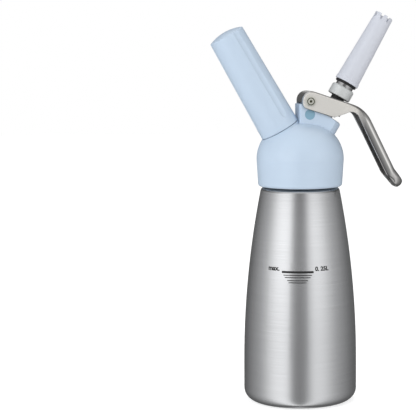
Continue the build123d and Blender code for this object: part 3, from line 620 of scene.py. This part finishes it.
def lever_ring(station):
    """One closed cross-section of the lever, as points in metres."""
    top, low, ahead, to_end = station
    down = (low - top).normalized()
    if to_end < nose_top:
        top = top + down * (nose_top - math.sqrt(nose_top ** 2 - (nose_top - to_end) ** 2))
    if to_end < nose_low:
        low = low - down * (nose_low - math.sqrt(nose_low ** 2 - (nose_low - to_end) ** 2))
    depth = (low - top).length
    narrow = math.sqrt(1 - (1 - min(1.0, to_end / handle_half)) ** 2)
    width = max(half_width(top.x) * narrow, 0.001)
    past_cheeks = top.x - pivot_side[0] - neck_in_start
    on_handle = min(1.0, max(0.0, past_cheeks / (neck_in_end - neck_in_start)))
    slant = max(0.4, abs(down.x * ahead.y - down.y * ahead.x))
    past_solid = max(0.0, to_end - solid_end)
    channel = handle_half - sheet
    open_half = math.sqrt(1 - (1 - min(1.0, past_solid / channel)) ** 2) * (width - sheet)
    open_depth = math.sqrt(1 - (1 - min(1.0, past_solid / channel_run_out)) ** 2)
    roof = depth - max(0.0, depth - min(sheet / slant, 0.8 * depth)) * open_depth
    # where the channel would be a mere scratch, the section is solid
    if open_half < 0.4 or depth - roof < 0.3:
        open_half, roof = 0.0, depth
    cheek = width - open_half
    cheek = min(max(cheek, min(sheet, 0.5 * width)), width)
    rim = min(rim_round + pad_round * (1 - min(1.0, past_solid / channel)), 0.45 * depth, 0.95 * width,
              max(lip_round, cheek - rim_round))
    fold = min(cheek_fold + (handle_fold - cheek_fold) * on_handle, 0.97 * depth - rim, width * 0.95)
    half = []
    for inwards, below in half_section(width, depth, fold, cheek, roof, rim):
        point = top + down * below
        local = half_width(point.x) * narrow
        across = local - inwards - (local - width) * min(1.0, inwards / width)
        half.append((point.x * MM, max(0.0, across) * MM, point.y * MM))
    return [(x, -y, z) for x, y, z in half] + [(x, y, z) for x, y, z in reversed(half[1:-1])]


def lofted(name, rings, hollow_from):
    """A closed skin over matching rings. Its faces from this point inwards take the second material."""
    skin = bmesh.new()
    rows = [[skin.verts.new(point) for point in ring] for ring in rings]
    for row, next_row in zip(rows, rows[1:]):
        for index in range(len(row)):
            after = (index + 1) % len(row)
            face = skin.faces.new((row[index], row[after], next_row[after], next_row[index]))
            depth = min(min(place, len(row) - place) for place in (index, after))
            face.material_index = 1 if depth >= hollow_from else 0
    skin.faces.new(reversed(rows[0]))
    skin.faces.new(rows[-1])
    bmesh.ops.remove_doubles(skin, verts=skin.verts, dist=0.004 * MM)
    bmesh.ops.recalc_face_normals(skin, faces=skin.faces)
    mesh = bpy.data.meshes.new(name)
    skin.to_mesh(mesh)
    skin.free()
    made = bpy.data.objects.new(name, mesh)
    bpy.context.scene.collection.objects.link(made)
    return made


def cut_away(target, cutter):
    """Cuts one shape out of another and removes the cutter."""
    cut = target.modifiers.new("cut", "BOOLEAN")
    cut.operation = "DIFFERENCE"
    cut.solver = "EXACT"
    cut.object = cutter
    apply_modifiers(target)
    bpy.data.objects.remove(cutter)


def rear_opening():
    """What is cut from the folded web behind and below the pivot."""
    behind, ahead, deep = 6.3, 5.7, 10.0
    high = pivot_side[1] - wrap_drop
    bpy.ops.mesh.primitive_cube_add(size=1)
    box = bpy.context.object
    box.scale = ((behind + ahead) * MM, 2 * (lever_half - sheet - 0.1) * MM, deep * MM)
    box.location = (pivot.x + (ahead - behind) / 2 * MM, 0, (high - deep / 2) * MM)
    return apply_place(box)


def stem_slot():
    """The slot in the web that the valve's stem passes through, longer towards the pivot."""
    slot_radius, slot_depth, stretch, height = 4.8, 10.4, 2.1, 43.2
    bpy.ops.mesh.primitive_cylinder_add(vertices=48, radius=slot_radius * MM, depth=slot_depth * MM)
    slot = bpy.context.object
    for vertex in slot.data.vertices:
        if vertex.co.x < -0.0001:
            vertex.co.x -= stretch * MM
    slot.matrix_world = Matrix.Translation(along(valve_axis, height)) @ frame_along(valve_axis)
    return apply_place(slot)


def pivot_holes():
    """A hole through both cheeks, with 0.05 mm round the pin."""
    bpy.ops.mesh.primitive_cylinder_add(vertices=40, radius=1.55 * MM, depth=40 * MM)
    hole = bpy.context.object
    hole.rotation_euler = (math.radians(90), 0, 0)
    hole.location = pivot
    return apply_place(hole)


def pressed_lever():
    """The lever as it leaves the press: one sheet with well rounded folds and a closed, rounded end."""
    lever = lofted("pressed_lever", [lever_ring(station) for station in lever_stations()], hollow_from)
    lever.data.materials.append(lever_steel)
    lever.data.materials.append(hollow_shade_steel)
    for cutter in (rear_opening(), stem_slot(), pivot_holes()):
        cut_away(lever, cutter)
    smooth(lever, 30)
    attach(lever, "lever")
    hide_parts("lever")


pressed_lever()

# ---------------------------------------------------------------- pivot pin and tip ring
def turned(name, outline):
    """A solid turned round Z from (radius, height) pairs in mm, drawn out step by step from a disc."""
    radius, height = outline[0]
    bpy.ops.object.select_all(action="DESELECT")
    bpy.ops.mesh.primitive_circle_add(vertices=56, radius=radius * MM, fill_type="NGON")
    made = bpy.context.object
    made.name = name
    made.location.z = height * MM
    apply_place(made)
    bpy.ops.object.mode_set(mode="EDIT")
    bpy.ops.mesh.select_all(action="SELECT")
    for next_radius, next_height in outline[1:]:
        bpy.ops.mesh.extrude_region_move(
            TRANSFORM_OT_translate={"value": (0, 0, (next_height - height) * MM)})
        share = next_radius / radius
        bpy.ops.transform.resize(value=(share, share, 1), center_override=(0, 0, next_height * MM))
        radius, height = next_radius, next_height
    bpy.ops.mesh.select_all(action="SELECT")
    bpy.ops.mesh.normals_make_consistent(inside=False)
    bpy.ops.object.mode_set(mode="OBJECT")
    return made


def pivot_pin():
    """The pin with a ring groove and a round recess in its head."""
    box = [Vector(corner) for corner in node["pivot_pin"].bound_box]
    near = -min(corner.y for corner in box) / MM
    far = -max(corner.y for corner in box) / MM
    shank, neck, head = 1.5, 1.15, 2.9
    under_head = near - 1.0
    clip_low, clip_high = -under_head, -under_head - 0.6
    pin = turned("pivot_pin_turned", [
        # the shank, with a groove for the clip near its far end
        (1.2, far), (shank, far + 0.3), (shank, clip_high), (neck, clip_high), (neck, clip_low),
        (shank, clip_low), (shank, under_head),
        # the head, with its rounded rim, ring groove and recess
        (head, under_head), (head, near - 0.45), (2.83, near - 0.2), (2.65, near - 0.04), (2.45, near),
        (2.3, near - 0.1), (2.2, near - 0.35), (1.95, near - 0.35), (1.85, near - 0.1),
        (1.7, near - 0.02), (0.9, near - 0.02), (0.8, near - 0.12), (0.72, near - 0.6), (0.2, near - 0.75),
    ])
    pin.matrix_world = Matrix.Translation((pivot.x, 0, pivot.z)) @ Matrix.Rotation(math.radians(90), 4, "X")
    apply_place(pin)
    smooth(pin, 50)
    pin.data.materials.append(pin_steel)
    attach(pin, "head")
    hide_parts("pivot_pin")


def tip_ring():
    """A round rubber ring under the tip."""
    bpy.ops.object.select_all(action="DESELECT")
    bpy.ops.mesh.primitive_torus_add(major_segments=72, minor_segments=20, major_radius=6.24 * MM,
                                     minor_radius=0.7 * MM)
    ring = bpy.context.object
    ring.name = "tip_o_ring"
    ring.matrix_world = Matrix.Translation(along(valve_axis, 57.8)) @ frame_along(valve_axis)
    apply_place(ring)
    smooth(ring, 60)
    ring.data.materials.append(black_rubber)
    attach(ring, "tip_carriage")
    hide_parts("tip_ring")


pivot_pin()
tip_ring()

# ---------------------------------------------------------------- springs
def coil(name, axis, low_mm, high_mm, radius_mm, wire_mm, turns, material):
    """A wire coil along one of the leaning axes, with its ends closed."""
    bpy.ops.mesh.primitive_circle_add(vertices=12, radius=wire_mm / 2 * MM, fill_type="NGON")
    spring = bpy.context.object
    spring.name = name
    spring.rotation_euler = (math.radians(90), 0, 0)
    spring.location = (radius_mm * MM, 0, (low_mm + wire_mm / 2) * MM)
    apply_place(spring)
    screw = spring.modifiers.new("coil", "SCREW")
    screw.axis = "Z"
    screw.angle = turns * 2 * math.pi
    screw.screw_offset = (high_mm - low_mm - wire_mm) * MM
    screw.steps = int(28 * turns)
    screw.render_steps = screw.steps
    screw.use_merge_vertices = False
    apply_modifiers(spring)
    select_only(spring)
    bpy.ops.object.mode_set(mode="EDIT")
    bpy.ops.mesh.select_all(action="SELECT")
    bpy.ops.mesh.remove_doubles(threshold=0.001 * MM)
    bpy.ops.mesh.select_all(action="DESELECT")
    bpy.ops.mesh.select_non_manifold()
    bpy.ops.mesh.edge_face_add()
    bpy.ops.mesh.select_all(action="SELECT")
    bpy.ops.mesh.normals_make_consistent(inside=False)
    bpy.ops.object.mode_set(mode="OBJECT")
    spring.matrix_world = Matrix.Translation(crossing) @ frame_along(axis)
    apply_place(spring)
    smooth(spring, 60)
    spring.data.materials.clear()
    spring.data.materials.append(material)
    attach(spring, "head")
    return spring


def closing_spring():
    low_end, high_end, travel = 24.05, 37.95, 3.5
    spring = coil("closing_spring", valve_axis, low_end, high_end, 4.1, 0.9, 6.5, spring_wire)
    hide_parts("valve_spring")
    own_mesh(spring)


def inlet_spring():
    low_end, high_end, travel = 12.05, 15.75, 1.2
    spring = coil("inlet_spring", holder_axis, low_end, high_end, 1.75, 0.35, 4.0, spring_wire)
    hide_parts("check_valve_spring")
    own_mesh(spring)


closing_spring()
inlet_spring()

# ---------------------------------------------------------------- fill mark printed on the bottle
mark_turn = math.radians(-13.0)         # from the front towards -X
print_height = 0.05 * MM
bars = [  # height, width, thickness, in mm
    (85.2, 19.6, 1.3),
    (83.3, 17.6, 0.5),
    (81.9, 15.8, 0.5),
    (80.1, 12.8, 0.5),
    (78.8, 11.0, 0.5),
]
words = [  # piece, text, place across, height, size, in mm
    ("fill_word_max", "max.", -15.3, 85.9, 4.1),
    ("fill_word_volume", "0. 25L", 15.2, 85.9, 3.55),
]


def bottle_radius(z):
    """Outer radius of the bottle's side at a height, both in metres."""
    side_curve = 560 * MM
    rise = max(0.0, z - 24 * MM)
    return 35.35 * MM - side_curve + math.sqrt(side_curve ** 2 - rise ** 2)


def wrap_on_bottle(obj):
    """Wraps a flat print, drawn in XZ, on to the bottle's side."""
    for vertex in obj.data.vertices:
        x, _, z = vertex.co
        radius = bottle_radius(z) + print_height
        angle = mark_turn + x / bottle_radius(z)
        vertex.co = (radius * math.sin(angle), -radius * math.cos(angle), z)
    return obj


def fill_bars():
    made = []
    for height, width, thickness in bars:
        bpy.ops.mesh.primitive_grid_add(x_subdivisions=40, y_subdivisions=2, size=1)
        bar = bpy.context.object
        bar.scale = (width * MM, thickness * MM, 1)
        bar.rotation_euler = (math.radians(90), 0, 0)
        bar.location = (0, -MM, height * MM)
        apply_place(bar)
        made.append(bar)
    select_only(made[0])
    for bar in made[1:]:
        bar.select_set(True)
    bpy.ops.object.join()
    made[0].name = "fill_bars"
    return wrap_on_bottle(made[0])


def fill_word(name, body, x, z, size):
    bpy.ops.object.text_add()
    text = bpy.context.object
    text.data.body = body
    text.data.size = size * MM
    text.data.offset = 0.15 * MM        # a bold cut
    text.data.align_x = "CENTER"
    text.rotation_euler = (math.radians(90), 0, 0)
    text.location = (x * MM, -MM, z * MM)
    select_only(text)
    bpy.ops.object.convert(target="MESH")
    text = apply_place(bpy.context.object)
    text.name = name
    bpy.ops.object.mode_set(mode="EDIT")
    bpy.ops.mesh.select_all(action="SELECT")
    bpy.ops.mesh.quads_convert_to_tris()
    bpy.ops.mesh.subdivide(number_cuts=1)
    bpy.ops.object.mode_set(mode="OBJECT")
    return wrap_on_bottle(text)


def fill_mark():
    for piece in [fill_bars()] + [fill_word(*word) for word in words]:
        piece.data.materials.clear()
        piece.data.materials.append(mark_ink)
        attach(piece, "bottle")


fill_mark()

# ---------------------------------------------------------------- stage, light and camera
def make_floor():
    bpy.ops.mesh.primitive_plane_add(size=6, location=(0, 0, -0.0002))
    floor = bpy.context.object
    floor.name = "floor"
    made = Finish("Pale floor", (0.82, 0.82, 0.82), roughness=0.9)
    made.set("Specular IOR Level", 0.0)
    rays = made.add("ShaderNodeLightPath")
    glow = made.add("ShaderNodeEmission")
    seen = made.maths("MULTIPLY", rays.outputs["Is Camera Ray"], 0.55)
    made.tree.links.new(seen, glow.inputs["Strength"])
    both = made.add("ShaderNodeAddShader")
    made.tree.links.new(made.shader.outputs[0], both.inputs[0])
    made.tree.links.new(glow.outputs[0], both.inputs[1])
    output = made.tree.nodes["Material Output"]
    made.tree.links.new(both.outputs[0], output.inputs["Surface"])
    floor.data.materials.append(made.material)
    floor.visible_glossy = False


def area_lamp(name, azimuth, height, distance, width, tall, strength, colour=(1, 1, 1)):
    """A soft box turned to the object's middle. Azimuth 0 is in front, 90 towards +X."""
    aim = Vector((0, 0, 0.14))
    turn = math.radians(azimuth)
    place = Vector((distance * math.sin(turn), -distance * math.cos(turn), height))
    data = bpy.data.lights.new(name, "AREA")
    data.shape = "RECTANGLE"
    data.size = width
    data.size_y = tall
    data.energy = strength
    data.color = colour
    lamp = bpy.data.objects.new(name, data)
    bpy.context.scene.collection.objects.link(lamp)
    lamp.location = place
    lamp.rotation_mode = "QUATERNION"
    lamp.rotation_quaternion = (aim - place).to_track_quat("-Z", "Y")
    lamp.visible_camera = False
    lamp.visible_glossy = False
    return lamp


camera_azimuth = -10.3      # the camera stands a little towards -X

# What polished and brushed metal sees round the object: (degrees from the camera's side, brightness).
# Two soft boxes stand left and right of the camera and a narrow one behind, with dim room between.
room = [
    (-180, 0.45), (-176, 0.45), (-170, 0.12), (-145, 0.12), (-125, 0.20), (-104, 0.30), (-90, 0.37),
    (-77, 0.52), (-64, 0.76), (-52, 0.93), (-34, 1.0), (-25, 0.93), (-18, 0.42), (-12, 0.23), (0, 0.20),
    (8, 0.23), (15, 0.36), (22, 0.68), (30, 0.83), (44, 0.80), (56, 0.68), (68, 0.50), (84, 0.36),
    (104, 0.26), (124, 0.17), (140, 0.13), (170, 0.12), (176, 0.45), (180, 0.45),
]


def make_world():
    world = bpy.data.worlds.new("Studio")
    bpy.context.scene.world = world
    world.use_nodes = True
    tree = world.node_tree
    tree.nodes.clear()

    def add(kind, **inputs):
        return add_node(tree, kind, **inputs)

    def maths(operation, *values):
        return maths_node(tree, operation, *values)

    direction = add("ShaderNodeTexCoord").outputs["Generated"]
    parts = add("ShaderNodeSeparateXYZ", Vector=direction).outputs
    # azimuth 0 in front (-Y), positive towards +X, then counted from the camera's side
    turned = maths("ARCTAN2", parts["X"], maths("MULTIPLY", parts["Y"], -1.0))
    shifted = maths("SUBTRACT", turned, math.radians(camera_azimuth))
    share = maths("FRACT", maths("ADD", maths("DIVIDE", shifted, 2 * math.pi), 0.5))
    ramp = add("ShaderNodeValToRGB", Fac=share)
    ramp.color_ramp.interpolation = "LINEAR"
    stops = ramp.color_ramp.elements
    while len(stops) > 1:
        stops.remove(stops[0])
    for index, (degrees, level) in enumerate(room):
        position = degrees / 360 + 0.5
        stop = stops[0] if index == 0 else stops.new(position)
        stop.position = position
        stop.color = (level, level, level, 1)
    overhead = add("ShaderNodeMapRange", Value=parts["Z"])
    overhead.interpolation_type = "SMOOTHSTEP"
    for name, number in {"From Min": 0.45, "From Max": 0.8, "To Min": 0.0, "To Max": 1.0}.items():
        overhead.inputs[name].default_value = number
    seen_up = add("ShaderNodeMix")
    seen_up.data_type = "RGBA"
    tree.links.new(overhead.outputs[0], seen_up.inputs["Factor"])
    tree.links.new(ramp.outputs["Color"], seen_up.inputs[6])
    seen_up.inputs[7].default_value = (1.15, 1.15, 1.15, 1)
    rays = add("ShaderNodeLightPath").outputs
    # the soft boxes are brightest a little above the object's middle and fade towards their tops
    higher = add("ShaderNodeValToRGB", Fac=maths("ADD", maths("MULTIPLY", parts["Z"], 0.5), 0.5))
    heights = higher.color_ramp.elements
    heights[0].position, heights[0].color = 0.44, (0.94, 0.94, 0.94, 1)
    heights[1].position, heights[1].color = 0.66, (0.80, 0.80, 0.80, 1)
    for position, level in ((0.52, 1.08), (0.60, 1.13)):
        heights.new(position).color = (level, level, level, 1)
    mirror = add("ShaderNodeBackground", Color=seen_up.outputs[2], Strength=higher.outputs[0])
    fill = add("ShaderNodeBackground", Color=(1, 1, 1, 1), Strength=0.62)
    white = add("ShaderNodeBackground", Color=(1, 1, 1, 1), Strength=1.0)
    first = add("ShaderNodeMixShader", Fac=rays["Is Glossy Ray"])
    tree.links.new(fill.outputs[0], first.inputs[1])
    tree.links.new(mirror.outputs[0], first.inputs[2])
    seen_directly = maths("MAXIMUM", rays["Is Camera Ray"], rays["Is Transmission Ray"])
    second = add("ShaderNodeMixShader", Fac=seen_directly)
    tree.links.new(first.outputs[0], second.inputs[1])
    tree.links.new(white.outputs[0], second.inputs[2])
    tree.links.new(second.outputs[0], add("ShaderNodeOutputWorld").inputs["Surface"])


def make_camera():
    data = bpy.data.cameras.new("camera")
    camera = bpy.data.objects.new("camera", data)
    bpy.context.scene.collection.objects.link(camera)
    data.sensor_width = 36
    data.lens = 130.2
    data.shift_x = -0.2215             # the object stands right of the picture's middle
    data.clip_start = 0.05
    azimuth = math.radians(camera_azimuth)
    away = 936 * MM
    camera.location = (away * math.sin(azimuth), -away * math.cos(azimuth), 219.5 * MM)
    heading = Matrix.Rotation(azimuth, 4, "Z")
    pitch = Matrix.Rotation(math.radians(90 - 6.0), 4, "X")
    camera.rotation_euler = (heading @ pitch).to_euler()
    bpy.context.scene.camera = camera


make_floor()
make_world()
area_lamp("key", -40, 0.55, 1.3, 0.9, 1.1, 7.0)
area_lamp("side", 50, 0.45, 1.4, 0.8, 1.1, 4.0)
area_lamp("top", 160, 1.4, 0.6, 1.2, 1.2, 2.6)
area_lamp("left", -85, 0.30, 1.2, 0.9, 1.0, 2.6, colour=(0.80, 0.90, 1.0))
area_lamp("right", 88, 0.30, 1.3, 0.8, 1.0, 0.8)
make_camera()
bpy.context.scene.view_settings.view_transform = "Standard"
